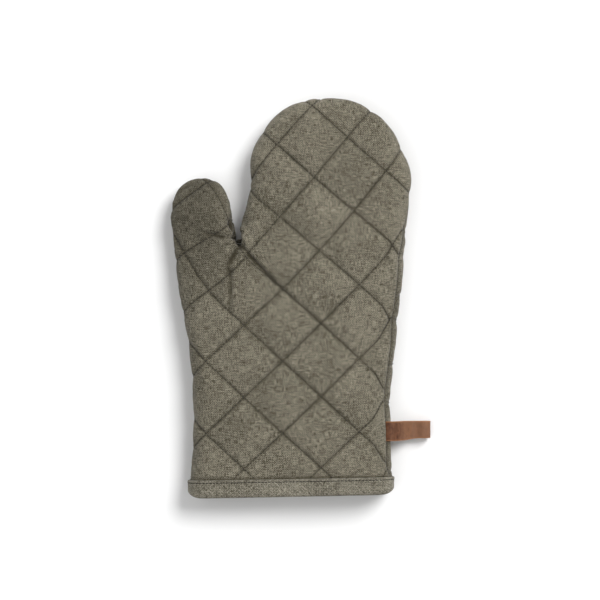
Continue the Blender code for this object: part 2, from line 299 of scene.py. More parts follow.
def panel_plan(step, shift):
    """A panel's plan as points and triangles, with edges along its quilting lines and the thumb's fold."""
    keep_crotch = np.linalg.norm(OUTLINE - CROTCH, axis=1) < 2
    index = sorted(set(range(0, len(OUTLINE), max(1, round(step / OUTLINE_STEP * 0.8))))
                   | set(np.flatnonzero(keep_crotch)) | {0, len(OUTLINE) - 1})
    fold = fold_line(step)
    for point in (fold[0], fold[-1]):
        index = sorted(set(index) | {int(np.linalg.norm(OUTLINE - point, axis=1).argmin())})
    outline = OUTLINE[index]
    normals = NORMALS[index]
    rim_angles = np.radians(np.linspace(0, 90, max(4, round(RADIUS * math.pi / 2 / step) + 1)))[1:]

    rim_edge = np.column_stack([RADIUS * (1 - np.cos(rim_angles)), np.zeros(len(rim_angles))])
    middle = evenly(np.array([outline[0] + (RADIUS, 0), outline[-1] - (RADIUS, 0)]), step)[1:-1]
    cuff = np.vstack([outline[0] + rim_edge, middle, (outline[-1] - rim_edge)[::-1]])

    lines = [fold] + quilt_lines(shift, step)
    loop = np.vstack([outline, cuff[::-1]])
    points = [loop]
    edges = [(i, (i + 1) % len(loop)) for i in range(len(loop))]
    count = len(loop)
    for line in lines:
        points.append(line)
        edges += [(count + i, count + i + 1) for i in range(len(line) - 1)]
        count += len(line)
    fixed = np.vstack(points)

    rings = [outline + normals * RADIUS * (1 - math.cos(angle)) for angle in rim_angles[:-1]]
    grid = hex_grid((-100, step * 0.8), (100, 310), step)
    grid = grid[rim_place(grid)[0] > RADIUS * (1 - math.cos(rim_angles[-2])) + 0.6 * step]
    loose = np.vstack([*rings, grid])
    loose = loose[loose[:, 1] > step * 0.5]
    tree = KDTree(len(fixed))
    for i, point in enumerate(drape(fixed, 1)):
        tree.insert(point, i)
    tree.balance()
    gaps = np.array([tree.find(point)[2] for point in drape(loose, 1)])
    points = np.vstack([fixed, loose[gaps > 0.55 * step]])
    made = delaunay_2d_cdt([Vector(p) for p in points], edges, [], 1, 1e-4)
    return np.array([tuple(v) for v in made[0]]), np.array(made[2])


def beside_thumb(plan):
    """Whether points on the plan are on the thumb's side of the cut."""
    return ((plan - CROTCH) @ TO_THUMB > 0) & (plan[:, 0] < CROTCH[0] + 0.5) & (plan[:, 1] > 100)


def on_thumb(plan, faces):
    return beside_thumb(plan[faces].mean(axis=1))


def linked(name, data):
    obj = bpy.data.objects.new(name, data)
    bpy.context.scene.collection.objects.link(obj)
    return obj


def add_mesh(name, points, faces):
    mesh = bpy.data.meshes.new(name)
    mesh.from_pydata(to_world(points).tolist(), [], [list(map(int, face)) for face in faces])
    return linked(name, mesh)


def read(collection, field, width, kind=float):
    """A field of every item in a mesh's collection, one row for each."""
    values = np.empty(len(collection) * width, kind)
    collection.foreach_get(field, values)
    return values.reshape(-1, width) if width > 1 else values


def set_flat(mesh, places):
    """Gives each corner its place on the flat cloth, as the UV map that the materials read."""
    layer = mesh.uv_layers.new(name="flat")
    layer.data.foreach_set("uv", (places * MM).astype(np.float32).ravel())


def set_value(mesh, name, values):
    values = np.asarray(values)
    mesh.attributes.new(name, "FLOAT", "POINT").data.foreach_set("value", values.astype(np.float32))


def shade_smooth(mesh):
    mesh.polygons.foreach_set("use_smooth", np.ones(len(mesh.polygons), bool))


def subdivided(obj):
    """The piece's mesh, smoothed once."""
    smoother = obj.modifiers.new("Smooth", "SUBSURF")
    smoother.levels = smoother.render_levels = 1
    made = bpy.data.meshes.new_from_object(obj.evaluated_get(bpy.context.evaluated_depsgraph_get()))
    obj.modifiers.clear()
    return made


def finish_smooth(obj):
    old, obj.data = obj.data, subdivided(obj)
    bpy.data.meshes.remove(old)


def turn_out(obj):
    """Turns the faces of a closed piece outwards."""
    shape = bmesh.new()
    shape.from_mesh(obj.data)
    bmesh.ops.recalc_face_normals(shape, faces=shape.faces)
    shape.to_mesh(obj.data)
    shape.free()


# ------------------------------------------------------------------ the outer cloth

PRESSURE = 20
LAST_FRAME = 20
MOST_PUFF = 4.6  # how far the simulation may move a point
PUFF_REACH = 6.5
RAW_EDGE = 4.5  # where the sheets end, inside the binding
RAW_EDGE_REACH = 12  # sheets are drawn up towards their raw edge from here
SEAM_PULL = 1.3
PALM_DOME = 1.6
PALM_WAVE = 1.1
THUMB_DROOP = 0.5
SCALLOP = 1.5
GROOVE = 1.0
GROOVE_WIDTH = 2.2
FINE_RIPPLE = 0.34
FINE_SIZE = 4.6
BROAD_RIPPLE = 0.55
BROAD_SIZE = 13.0
FLOOR_GAP = 0.2

# Creases in the palm beside the thumb: the course, the depth at its start and end, and the half width.
CREASES = (
    (((-38.2, 193.0), (-37.4, 190.4), (-31.4, 182.1), (-24.6, 174.6), (-14.7, 164.4), (6.0, 144.5)), 2.6, 0.2, 1.5),
    (((-38.9, 196.0), (-39.7, 187.4), (-43.5, 180.2), (-47.2, 173.1), (-49.0, 168.0)), 3.6, 1.3, 2.2),
    (((-39.9, 194.2), (-51.8, 195.7), (-60.8, 197.2), (-64.0, 197.6)), 2.6, 0.9, 1.5),
    (((-45.0, 170.0), (-45.0, 158.7), (-45.7, 146.6), (-46.5, 141.0)), 1.9, 0.9, 1.7),
    (((-88.8, 225.2), (-78.2, 234.3), (-71.4, 237.3)), 0.6, 0.5, 1.4),
    (((-43.5, 216.0), (-43.2, 205.0), (-40.4, 197.0)), 0.7, 3.2, 2.6),
    (((79.0, 176.0), (66.0, 179.0), (57.0, 178.0)), 0.7, 0.1, 1.6),
    (((76.0, 158.0), (68.0, 160.0), (62.0, 163.0)), 0.6, 0.1, 1.5),
    (((72.0, 98.0), (64.0, 101.0), (58.0, 99.0)), 0.6, 0.1, 1.6),
    (((-20.0, 186.0), (-10.0, 184.5), (2.0, 186.5)), 0.3, 0.3, 1.4),
)


def soft_noise(places, size, seed):
    """Smooth noise between about -1 and 1, with waves about size long."""
    return np.array([noise.noise(Vector((x / size, y / size, seed))) for x, y in places])


def panel_shape(plan, side, depth=0.0):
    """The panel as it lies before its padding is puffed up: a low dome on the palm, and level underneath."""
    points = drape(plan, side, depth)
    if side > 0:
        inner = smooth((rim_place(plan)[0] - 2) / 40)
        points[:, 2] += inner * (PALM_DOME + PALM_WAVE * soft_noise(plan, 60, 3.1))
        points[:, 2] -= THUMB_DROOP * points[:, 2] * smooth((-44 - plan[:, 0]) / 44) * smooth((plan[:, 1] - 120) / 90)
    drawn_up = RAW_EDGE + points[:, 1] * (RAW_EDGE_REACH - RAW_EDGE) / RAW_EDGE_REACH
    points[:, 1] = np.where(plan[:, 1] < RAW_EDGE_REACH, drawn_up, points[:, 1])
    return points


def outwards(plan, side):
    """The way out of the cloth."""
    return drape(plan, side) - drape(plan, side, 1)


def make_shell():
    """Both panels of outer cloth as one form, open at the cuff and joined along the seam."""
    parts = []
    for side, _, shift in PANELS:
        plan, faces = panel_plan(CLOTH_STEP, shift)
        parts.append({
            "plan": plan,
            "points": panel_shape(plan, side),
            "out": outwards(plan, side),
            "flat": pattern_place(plan, 1),
            "line": quilt_distance(pattern_place(plan), shift),
            "inside": rim_place(plan)[0],
            "faces": faces if side > 0 else faces[:, ::-1],
            "piece": on_thumb(plan, faces) + (0 if side > 0 else 2),
        })
    palm, back = parts
    tree = KDTree(len(palm["plan"]))
    for i, point in enumerate(palm["plan"]):
        tree.insert((*point, 0), i)
    tree.balance()
    new = np.arange(len(back["plan"])) + len(palm["plan"])
    for i in np.flatnonzero(back["inside"] < ON_SEAM):
        _, match, gap = tree.find((*back["plan"][i], 0))
        if gap < ON_SEAM:
            new[i] = match
    shell = {key: np.concatenate([palm[key], back[key]]) for key in ("plan", "points", "out", "line", "inside")}
    shell["seam"] = shell["inside"] < ON_SEAM
    faces = np.concatenate([palm["faces"], new[back["faces"]]])
    shell["piece"] = np.concatenate([palm["piece"], back["piece"]])
    shell["corner_flat"] = np.concatenate([palm["flat"][palm["faces"]], back["flat"][back["faces"]]])
    _, first, copies = np.unique(np.sort(faces, axis=1), axis=0, return_inverse=True, return_counts=True)
    single = (copies[first] == 1).ravel()
    faces = faces[single]
    shell["piece"] = shell["piece"][single]
    shell["corner_flat"] = shell["corner_flat"][single]
    used = np.unique(faces)
    place = np.full(faces.max() + 1, -1)
    place[used] = np.arange(len(used))
    shell["faces"] = place[faces]
    for key in ("plan", "points", "out", "line", "inside", "seam"):
        shell[key] = shell[key][used]
    return shell


def simulate(obj, pins):
    """Where each point lies once pressure has puffed the cloth up between its pinned lines of stitches, in metres."""
    group = obj.vertex_groups.new(name="stitched")
    for i in np.flatnonzero(pins):
        group.add([int(i)], 1.0, "REPLACE")
    cloth = obj.modifiers.new("Cloth", "CLOTH")
    settings = cloth.settings
    settings.quality = 7
    settings.mass = 0.2
    settings.tension_stiffness = 8
    settings.compression_stiffness = 8
    settings.shear_stiffness = 3
    settings.bending_stiffness = 0.3
    settings.air_damping = 3
    settings.vertex_group_mass = group.name
    settings.shrink_min = -0.012
    settings.use_pressure = True
    settings.uniform_pressure_force = PRESSURE
    settings.effector_weights.gravity = 0
    cloth.collision_settings.use_collision = False
    cloth.collision_settings.use_self_collision = False
    cloth.point_cache.frame_start = 1
    cloth.point_cache.frame_end = LAST_FRAME
    scene = bpy.context.scene
    for step in range(1, LAST_FRAME + 1):
        scene.frame_set(step)
    evaluated = obj.evaluated_get(bpy.context.evaluated_depsgraph_get())
    puffed = read(evaluated.data.vertices, "co", 3)
    obj.modifiers.remove(cloth)
    obj.vertex_groups.remove(group)
    scene.frame_set(1)
    return puffed


def loft(line):
    """How fully the padding stands up at a distance from the nearest line of stitches, from 0 to 1."""
    return 1 - np.exp(-line / PUFF_REACH)


def above_floor(points, clearance):
    """Presses what would go through the floor level with it."""
    low = FLOOR + clearance
    over = points[:, 2] - low
    points[:, 2] = low + np.where(over < 0.9, 0.9 * np.exp(np.minimum(over - 0.9, 0) / 0.9), over)
    return points


def edge_pull(plan):
    """How the seam is drawn in, more so where a line of quilting ends on it, for points on the plan."""
    inside, inwards, _ = rim_place(plan)
    scallop = SCALLOP * (0.72 - loft(quilt_distance(pattern_place(plan), 0)))
    pull = SEAM_PULL * np.exp(-inside * 4) + scallop * np.exp(-inside / 3.5)
    return inwards * (pull * smooth((plan[:, 1] - 8) / 12))[:, None]


def puffed_shell(shell):
    cuff = shell["plan"][:, 1] < QUIET_CUFF - 2.5
    pins = (shell["line"] < ON_LINE) | shell["seam"] | cuff
    obj = add_mesh("shell", shell["points"], shell["faces"])
    moved = (simulate(obj, pins) - read(obj.data.vertices, "co", 3)) / MM
    far = np.linalg.norm(moved, axis=1)
    moved *= np.minimum(1, MOST_PUFF / np.maximum(far, 1e-6))[:, None]
    bpy.data.objects.remove(obj)
    points = shell["points"] + moved
    points[:, :2] += edge_pull(shell["plan"])
    return above_floor(points, 0.25)


def finished_shell():
    """The puffed cloth as one mesh of squares, smoothed once, with each face's piece as its material index."""
    shell = make_shell()
    points = puffed_shell(shell)
    obj = add_mesh("shell", points, shell["faces"])
    mesh = obj.data
    set_flat(mesh, shell["corner_flat"])
    mesh.polygons.foreach_set("material_index", shell["piece"].astype(np.int32))
    # Painted shade along the seam: the line attribute is also made low within about half a millimetre of the outline.
    set_value(mesh, "line", np.minimum(shell["line"], shell["inside"] * 5 - 0.5))
    plan = mesh.attributes.new("plan", "FLOAT_VECTOR", "POINT")
    plan.data.foreach_set("vector", np.column_stack([shell["plan"], shell["inside"]]).astype(np.float32).ravel())
    ends = read(mesh.edges, "vertices", 2, int)
    stitched = (shell["line"] < ON_LINE) & (shell["plan"][:, 1] > QUIET_CUFF)
    crease = mesh.attributes.new("crease_edge", "FLOAT", "EDGE")
    sharp = stitched[ends].all(axis=1) | shell["seam"][ends].all(axis=1)
    crease.data.foreach_set("value", sharp.astype(np.float32))
    made = subdivided(obj)
    bpy.data.objects.remove(obj)
    return made


def cut_pieces(made, names):
    """Splits a mesh of squares into a piece for each material index. Their shading runs on across the cuts."""
    corners = read(made.loops, "vertex_index", 1, int).reshape(-1, 4)
    uv = read(made.uv_layers["flat"].data, "uv", 2).reshape(-1, 4, 2)
    normals = read(made.corner_normals, "vector", 3).reshape(-1, 4, 3)
    points = read(made.vertices, "co", 3)
    line = read(made.attributes["line"].data, "value", 1)
    group = read(made.polygons, "material_index", 1, int)
    pieces = []
    for i, name in enumerate(names):
        chosen = group == i
        used, faces = np.unique(corners[chosen], return_inverse=True)
        mesh = bpy.data.meshes.new(name)
        mesh.from_pydata(points[used].tolist(), [], faces.reshape(-1, 4).tolist())
        shade_smooth(mesh)
        mesh.uv_layers.new(name="flat").data.foreach_set("uv", uv[chosen].astype(np.float32).ravel())
        set_value(mesh, "line", line[used])
        mesh.normals_split_custom_set(normals[chosen].reshape(-1, 3).tolist())
        pieces.append(linked(name, mesh))
    return pieces


def course_distance(places, course):
    """How far each place is from a course on the plan, and how far along the course its nearest point lies."""
    course = np.array(course)
    lengths = lengths_along(course)
    best, along = np.full(len(places), 1e9), np.zeros(len(places))
    for k, (a, b) in enumerate(zip(course, course[1:])):
        way = b - a
        share = np.clip((places - a) @ way / (way @ way), 0, 1)
        gap = np.linalg.norm(places - a - share[:, None] * way, axis=1)
        nearer = gap < best
        best[nearer] = gap[nearer]
        along[nearer] = ((lengths[k] + share * (lengths[k + 1] - lengths[k])) / lengths[-1])[nearer]
    return best, along


def creased(places):
    """How deep the creases are at places on the palm."""
    depth = np.zeros(len(places))
    for course, start, end, half_width in CREASES:
        low, high = np.min(course, axis=0) - 9, np.max(course, axis=0) + 9
        near = np.flatnonzero(((places > low) & (places < high)).all(axis=1))
        gap, along = course_distance(places[near], course)
        profile = np.exp(-((gap / half_width) ** 2)) - 0.35 * np.exp(-(((gap - 2.6 * half_width) / half_width) ** 2))
        depth[near] += (start + (end - start) * along) * profile
    return depth


def pucker(made):
    """Small ripples where the cloth was drawn in by the stitches, and the creases beside the thumb, with painted
    shade for the creases and the binding's edge.
    """
    points = read(made.vertices, "co", 3)
    normals = read(made.vertex_normals, "vector", 3)
    line = read(made.attributes["line"].data, "value", 1)
    plan = read(made.attributes["plan"].data, "vector", 3)
    places = points[:, :2] / MM + 300 * (normals[:, 2:] < 0)
    fine = soft_noise(places, FINE_SIZE, 11.0) * FINE_RIPPLE * np.exp(-line / 4.5)
    broad = soft_noise(places, BROAD_SIZE, 5.0) * BROAD_RIPPLE * smooth(line / 6)
    height = (fine + broad) * smooth(plan[:, 2] / 2.5)
    height -= GROOVE * np.exp(-line / GROOVE_WIDTH) * smooth(plan[:, 2] / 3)
    height *= smooth((plan[:, 1] - QUIET_CUFF) / 5)
    palm = normals[:, 2] > -0.3
    deep = np.zeros(len(line))
    deep[palm] = creased(plan[palm, :2])
    points += normals * (height - deep)[:, None] * MM
    # Painted shade written into the line attribute: a dark line along the binding's top edge, and darker cloth in the
    # deeper creases.
    binding_edge_shadow = np.abs(plan[:, 1] - BINDING_DEPTH - 0.4) * 0.8 - 0.8
    shaded = np.minimum(line, np.maximum(2.2 - 1.9 * deep, -1.2))
    made.attributes["line"].data.foreach_set("value", np.minimum(shaded, binding_edge_shadow).astype(np.float32))
    points[:, 2] = np.maximum(points[:, 2], FLOOR_GAP * MM)
    made.vertices.foreach_set("co", points.ravel())
    made.update()


# ------------------------------------------------------------------ what lies under the outer cloth

# Depths under the outer cloth, at the quilting lines and between them. The wadding also dips near
# the rim, under the creases and beside the crotch, so that it doesn't show through the cloth there.
PAD_TOP = (2.2, 0.9)
PAD_BOTTOM = (3.5, 4.3)
LINING_DEPTH = (4.1, 5.3)


def under_depth(line, stitched, full):
    """An inner sheet's depth: stitched at the quilting lines, and full between them."""
    return stitched + (full - stitched) * loft(line)


def under_points(plan, side, depth):
    points = panel_shape(plan, side, depth)
    return above_floor(points, 0.9) if side < 0 else points


def plain_sheet(name, plan, faces, side, points, flat):
    used, index = np.unique(faces, return_inverse=True)
    obj = add_mesh(name, points[used], index.reshape(-1, 3)[:, ::side])
    set_flat(obj.data, flat[faces[:, ::side]])
    shade_smooth(obj.data)
    return obj


def closed_sheet(name, faces, side, upper, lower):
    """One closed solid between two sheets of the same faces."""
    used, index = np.unique(faces, return_inverse=True)
    faces = index.reshape(-1, 3)[:, ::side]
    count = len(used)
    ends = np.concatenate([faces[:, [0, 1]], faces[:, [1, 2]], faces[:, [2, 0]]])
    codes = ends[:, 0] * count + ends[:, 1]
    rim = ends[~np.isin(codes, ends[:, 1] * count + ends[:, 0])]
    walls = [(b, a, a + count, b + count) for a, b in rim]
    points = np.vstack([upper[used], lower[used]])
    obj = add_mesh(name, points, [*faces, *(faces[:, ::-1] + count), *walls])
    shade_smooth(obj.data)
    return obj


# ------------------------------------------------------------------ stitches

def dashes(name, places, along, out, length=STITCH_LENGTH, radius=STITCH_RADIUS):
    """Short raised threads, each diving into the cloth at both ends."""
    sides, rings = 6, 5
    across = np.cross(along, out)
    turns = np.linspace(0, 2 * math.pi, sides, endpoint=False)
    points = []
    for t in np.linspace(-1, 1, rings):
        thick = radius * math.sqrt(max(0.12, 1 - t**4))
        lift = radius * 0.75 * (1 - t * t) - radius * 0.35
        for turn in turns:
            points.append(places + along * (t * length / 2) + out * (lift + thick * math.sin(turn))
                          + across * (thick * 1.05 * math.cos(turn)))
    points = np.stack(points, axis=1).reshape(-1, 3)
    ring = np.arange(sides)
    after = (ring + 1) % sides
    cell = [np.stack([ring + r * sides, after + r * sides, after + (r + 1) * sides, ring + (r + 1) * sides], axis=1)
            for r in range(rings - 1)]
    quads = np.concatenate(cell)
    ends = [tuple(ring[::-1]), tuple(ring + (rings - 1) * sides)]
    faces = []
    for i in range(len(places)):
        shift = i * rings * sides
        faces += (quads + shift).tolist()
        faces += [[int(v) + shift for v in end] for end in ends]
    obj = add_mesh(name, points, faces)
    shade_smooth(obj.data)
    return obj


def unit(vectors):
    return vectors / np.maximum(np.linalg.norm(vectors, axis=1), 1e-9)[:, None]


def quilting_places(side, shift, tree):
    """Where the quilting's stitches are: plan point, place, the way along and the way out."""
    found = []
    for run in quilt_lines(shift, STITCH_PITCH):
        points = panel_shape(run, side)
        run_along = unit(np.gradient(points, axis=0))
        found.append(np.column_stack([run, points, run_along, unit(outwards(run, side))]))
    rows = np.concatenate(found)
    rows = rows[(rows[:, 1] > QUIET_CUFF - 1) & (rim_place(rows[:, :2])[0] > 0.7)]
    rows[:, 2:4] += edge_pull(rows[:, :2])
    rows[:, 2:5] = on_surface(tree, rows[:, 2:5], rows[:, 8:])
    return rows


def surface_tree(meshes):
    """A search tree of these meshes, in pattern millimetres."""
    points, faces, count = [], [], 0
    for mesh in meshes:
        corners = read(mesh.loops, "vertex_index", 1, int).reshape(-1, 4)
        points.append(read(mesh.vertices, "co", 3) / MM - PATTERN_PLACE)
        faces.append(corners + count)
        count += len(mesh.vertices)
    return BVHTree.FromPolygons(np.concatenate(points).tolist(), np.concatenate(faces).tolist())


def on_surface(tree, places, out, lift=0.12):
    """The places moved onto the surface, in line with the way out."""
    tilted = to_world(places) / MM - PATTERN_PLACE
    found = np.array(places)
    for i, (place, way) in enumerate(zip(tilted, out)):
        start = Vector(place + way * 3.5)
        hit = tree.ray_cast(start, Vector(-way), 8)[0] or tree.find_nearest(start)[0]
        found[i] += np.array(hit) + way * lift - place
    found[:, 2] = np.maximum(found[:, 2], FLOOR + STITCH_RADIUS + 0.1)
    return found


# ------------------------------------------------------------------ the cuff's binding

TAPE_THICKNESS = 0.55
TAPE_STEP = 2.5

# The tape's section, from its outer edge round the mouth to its inner edge: height, and depth under the cloth.
BAND_OUTSIDE = (
    (10.6, 0.25), (11.45, 0.0), (11.85, -0.5), (11.75, -1.1), (11.2, -1.4), (10.65, -1.2), (10.2, -0.55),
    (9.75, -0.95), (9.0, -1.1), (7.5, -0.95), (5.5, -0.95), (3.5, -0.95), (1.8, -0.95), (0.6, -0.85),
    (-0.25, -0.5), (-0.7, 0.2), (-0.85, 1.4), (-0.85, 3.2), (-0.7, 4.4), (-0.2, 5.2), (0.8, 5.6), (3.0, 5.7),
    (6.0, 5.7), (9.0, 5.7), (10.3, 5.5), (11.0, 5.7), (11.4, 5.3),
)


def mouth_course(step):
    """Plan x and side of points all round the mouth."""
    angles = np.linspace(0, math.pi / 2, 9)
    rim = RADIUS * (1 - np.cos(angles))
    left, right = OUTLINE[0, 0], OUTLINE[-1, 0]
    middle = np.linspace(left + RADIUS, right - RADIUS, round((right - left - 2 * RADIUS) / step) + 1)[1:-1]
    over = np.concatenate([left + rim, middle, (right - rim)[::-1]])
    return np.concatenate([over, over[::-1][1:-1]]), np.concatenate([np.ones(len(over)), -np.ones(len(over) - 2)])


def at_mouth(x, side, y, depth):
    """Points round the mouth at these heights and depths. Its corners are rounded off."""
    plan = np.column_stack([x, np.full(len(x), min(max(y, 1.0), BINDING_DEPTH))])
    palm = side[:, None] > 0
    points = np.where(palm, panel_shape(plan, 1, depth), panel_shape(plan, -1, depth))
    outer = np.where(palm, drape(plan, 1), drape(plan, -1))
    at_side = np.clip(np.abs(outer[:, 0] - 0.5) - 76.5 + RADIUS, 0, RADIUS) / RADIUS
    rise = 3.2 * at_side**5 * (1 - min(max(y, 0) / 10, 1))
    points[:, 1] = y + rise
    return points


def binding():
    """The folded tape round the mouth, and the size of its flat strip in metres."""
    x, side = mouth_course(TAPE_STEP)
    profile = np.array(BAND_OUTSIDE)
    normals = unit(np.stack([-np.gradient(profile[:, 1]), np.gradient(profile[:, 0])], axis=1))
    inner = profile + normals * TAPE_THICKNESS
    loop = np.vstack([profile, inner[::-1]])
    wave = soft_noise(np.column_stack([x, side * 40]), 17, 8.0) * 0.18
    rings = []
    for y, depth in loop:
        ring = at_mouth(x, side, y, depth)
        out = ring - at_mouth(x, side, y, depth + 1)
        rings.append(ring + out * wave[:, None] * (depth < 0))
    points = np.concatenate(rings)
    n, m = len(x), len(loop)
    faces = []
    for j in range(m):
        for i in range(n):
            a, b = j * n, (j + 1) % m * n
            faces.append((a + i, a + (i + 1) % n, b + (i + 1) % n, b + i))
    points[:, 2] = np.maximum(points[:, 2], FLOOR + 0.05)
    obj = add_mesh("cuff_binding_tape", points, faces)
    around = lengths_along(rings[6])
    down = lengths_along(loop)
    uv = []
    for j in range(m):
        for i in range(n):
            u0, u1 = around[i], around[i + 1] if i + 1 < n else around[i] + TAPE_STEP
            v0, v1 = down[j], down[j + 1] if j + 1 < m else down[j] + 0.5
            uv += [(u0, v0), (u1, v0), (u1, v1), (u0, v1)]
    set_flat(obj.data, np.array(uv))
    turn_out(obj)
    shade_smooth(obj.data)
    finish_smooth(obj)
    width = np.linalg.norm(np.diff(profile, axis=0), axis=1).sum()
    length = np.linalg.norm(np.roll(rings[0], -1, axis=0) - rings[0], axis=1).sum()
    return obj, (round(float(width) * MM, 3), round(float(length) * MM, 3))


def topstitch(tree):
    x, side = mouth_course(0.5)
    rows = []
    for y, depth in ((10.2, -0.78), (10.3, 5.62)):
        ring = at_mouth(x, side, y, depth)
        ring = evenly(np.vstack([ring, ring[:1]]), STITCH_PITCH)[:-1]
        run_along = unit(np.roll(ring, -1, axis=0) - np.roll(ring, 1, axis=0))
        out = unit(np.cross(run_along, np.tile([0.0, 1.0, 0.0], (len(ring), 1))))
        middle = np.array([0.5, y, 0])
        facing = np.sign(((ring - middle) * out).sum(axis=1)) * (1 if depth < 0 else -1)
        rows.append(np.column_stack([ring, run_along, out * facing[:, None]]))
    rows = np.concatenate(rows)
    places = on_surface(tree, rows[:, :3], rows[:, 6:])
    return dashes("binding_topstitch", places, rows[:, 3:6], rows[:, 6:], 2.0, 0.27)


# ------------------------------------------------------------------ the hanging loop

LOOP_Y = 48.6
LOOP_WIDTH = 15.6
LOOP_TIP_WIDTH = 13.8
LOOP_THICKNESS = 1.5
LOOP_EYE = 3.3
LOOP_COURSE = ((70.5, 5.6), (73.6, 7.8), (77.0, 7.6), (81.5, 3.6), (86.5, -3.0), (91.0, -7.0), (96.0, -9.0),
               (101.0, -9.6), (106.0, -9.8), (112.0, -9.9))
LOOP_EYE_ALONG = 38.6
LOOP_DRIFT = 0.6  # how far its tip lies towards the fingers
LOOP_CORNER = 0.38


def hanging_loop():
    """A leather strap folded in half, both ends in the seam, which opens into an eye at its tip."""
    course = evenly(smooth_curve(LOOP_COURSE), 0.5)
    way = unit(np.gradient(course, axis=0))
    square = np.stack([-way[:, 1], way[:, 0]], axis=1)
    measure = np.arange(len(course)) * np.linalg.norm(course[1] - course[0])
    reach = LOOP_EYE + LOOP_THICKNESS / 2
    turns = np.linspace(math.pi / 2, -math.pi / 2, 17)
    run = np.linspace(0, LOOP_EYE_ALONG, 36)[:-1]
    open_by = LOOP_THICKNESS / 2 + 0.06 + (reach - LOOP_THICKNESS / 2) * smooth((run - LOOP_EYE_ALONG + 11) / 11)
    local = np.vstack([
        np.column_stack([run, open_by]),
        np.column_stack([LOOP_EYE_ALONG + reach * np.cos(turns), reach * np.sin(turns)]),
        np.column_stack([run, -open_by])[::-1],
    ])
    at = np.stack([np.interp(local[:, 0], measure, course[:, i]) for i in (0, 1)], axis=1)
    normal = np.stack([np.interp(local[:, 0], measure, square[:, i]) for i in (0, 1)], axis=1)
    path = evenly(at + normal * local[:, 1:], 1.0)
    tangent = unit(np.gradient(path, axis=0))
    side = np.stack([-tangent[:, 1], tangent[:, 0]], axis=1)
    out_there = smooth((path[:, 0] - 84) / 14)
    half = (LOOP_WIDTH + (LOOP_TIP_WIDTH - LOOP_WIDTH) * out_there) / 2
    shift = LOOP_DRIFT * out_there
    corner = LOOP_CORNER
    section = []
    for sx, sy, start in ((1, 1, 0), (-1, 1, 90), (-1, -1, 180), (1, -1, 270)):
        for angle in (0, 30, 60, 90):
            a = math.radians(start + angle)
            section.append((sx, corner * math.cos(a), sy * (LOOP_THICKNESS / 2 - corner) + corner * math.sin(a)))
    section = np.array(section)
    rings, edge = [], []
    for i in range(len(path)):
        along_y = section[:, 0] * (half[i] - corner) + section[:, 1]
        over = section[:, 2]
        x, z = [path[i, k] + side[i, k] * over for k in (0, 1)]
        rings.append(np.column_stack([x, LOOP_Y + shift[i] + along_y, z]))
        edge.append((np.abs(along_y) > half[i] - corner * 0.8).astype(float))
    m = len(section)
    faces = [(i * m + k, i * m + (k + 1) % m, (i + 1) * m + (k + 1) % m, (i + 1) * m + k)
             for i in range(len(path) - 1) for k in range(m)]
    faces += [tuple(range(m)), tuple(range((len(path) - 1) * m, len(path) * m))[::-1]]
    obj = add_mesh("hanging_loop_strap", np.concatenate(rings), faces)
    set_value(obj.data, "edge", np.concatenate(edge))
    around = lengths_along(path)
    uv = np.zeros((len(obj.data.loops), 2))
    for i, loop in enumerate(obj.data.loops):
        ring, k = divmod(loop.vertex_index, m)
        uv[i] = (around[ring], section[k, 0] * half[ring])
    set_flat(obj.data, uv)
    turn_out(obj)
    shade_smooth(obj.data)
    finish_smooth(obj)
    return obj


# ------------------------------------------------------------------ materials

class Shader:
    """A material's nodes, added one at a time."""

    def __init__(self, name):
        self.material = bpy.data.materials.new(name)
        self.material.use_nodes = True
        self.tree = self.material.node_tree
        self.bsdf = self.tree.nodes["Principled BSDF"]
        self.count = 0

    def add(self, kind, inputs=None, **settings):
        node = self.tree.nodes.new(kind)
        node.location = (-200 * (self.count % 8) - 300, -260 * (self.count // 8))
        self.count += 1
        for key, value in settings.items():
            setattr(node, key, value)
        for key, value in (inputs or {}).items():
            socket = node.inputs[key]
            if isinstance(value, bpy.types.NodeSocket):
                self.tree.links.new(value, socket)
            else:
                socket.default_value = value
        return node

    def math(self, operation, *values):
        return self.add("ShaderNodeMath", dict(enumerate(values)), operation=operation).outputs[0]

    def noise(self, vector, scale, detail=2.0, roughness=0.5, **more):
        inputs = {"Vector": vector, "Scale": scale, "Detail": detail, "Roughness": roughness, **more}
        return self.add("ShaderNodeTexNoise", inputs).outputs["Fac"]

    def stretched(self, vector, scale, turn=0.0):
        inputs = {"Vector": vector, "Scale": scale, "Rotation": (0, 0, turn)}
        return self.add("ShaderNodeMapping", inputs).outputs[0]

    def span(self, value, low, high, to_low=0.0, to_high=1.0):
        inputs = {"Value": value, "From Min": low, "From Max": high, "To Min": to_low, "To Max": to_high}
        return self.add("ShaderNodeMapRange", inputs, clamp=True).outputs[0]

    def mix(self, factor, first, second, blend="MIX"):
        node = self.add("ShaderNodeMix", data_type="RGBA", blend_type=blend)
        for socket, value in ((node.inputs[0], factor), (node.inputs[6], first), (node.inputs[7], second)):
            if isinstance(value, bpy.types.NodeSocket):
                self.tree.links.new(value, socket)
            else:
                socket.default_value = value
        return node.outputs[2]

    def bump(self, height, distance, strength=1.0, normal=None):
        inputs = {"Height": height, "Distance": distance, "Strength": strength}
        if normal is not None:
            inputs["Normal"] = normal
        return self.add("ShaderNodeBump", inputs).outputs[0]

    def link(self, value, socket):
        self.tree.links.new(value, self.bsdf.inputs[socket])


def tone(red, green, blue):
    """A colour from its screen values, 0 to 255."""
    return (*[((v / 255 + 0.055) / 1.055) ** 2.4 for v in (red, green, blue)], 1.0)


THREAD_WIDTH = 0.00055  # metres, as all lengths in the materials are


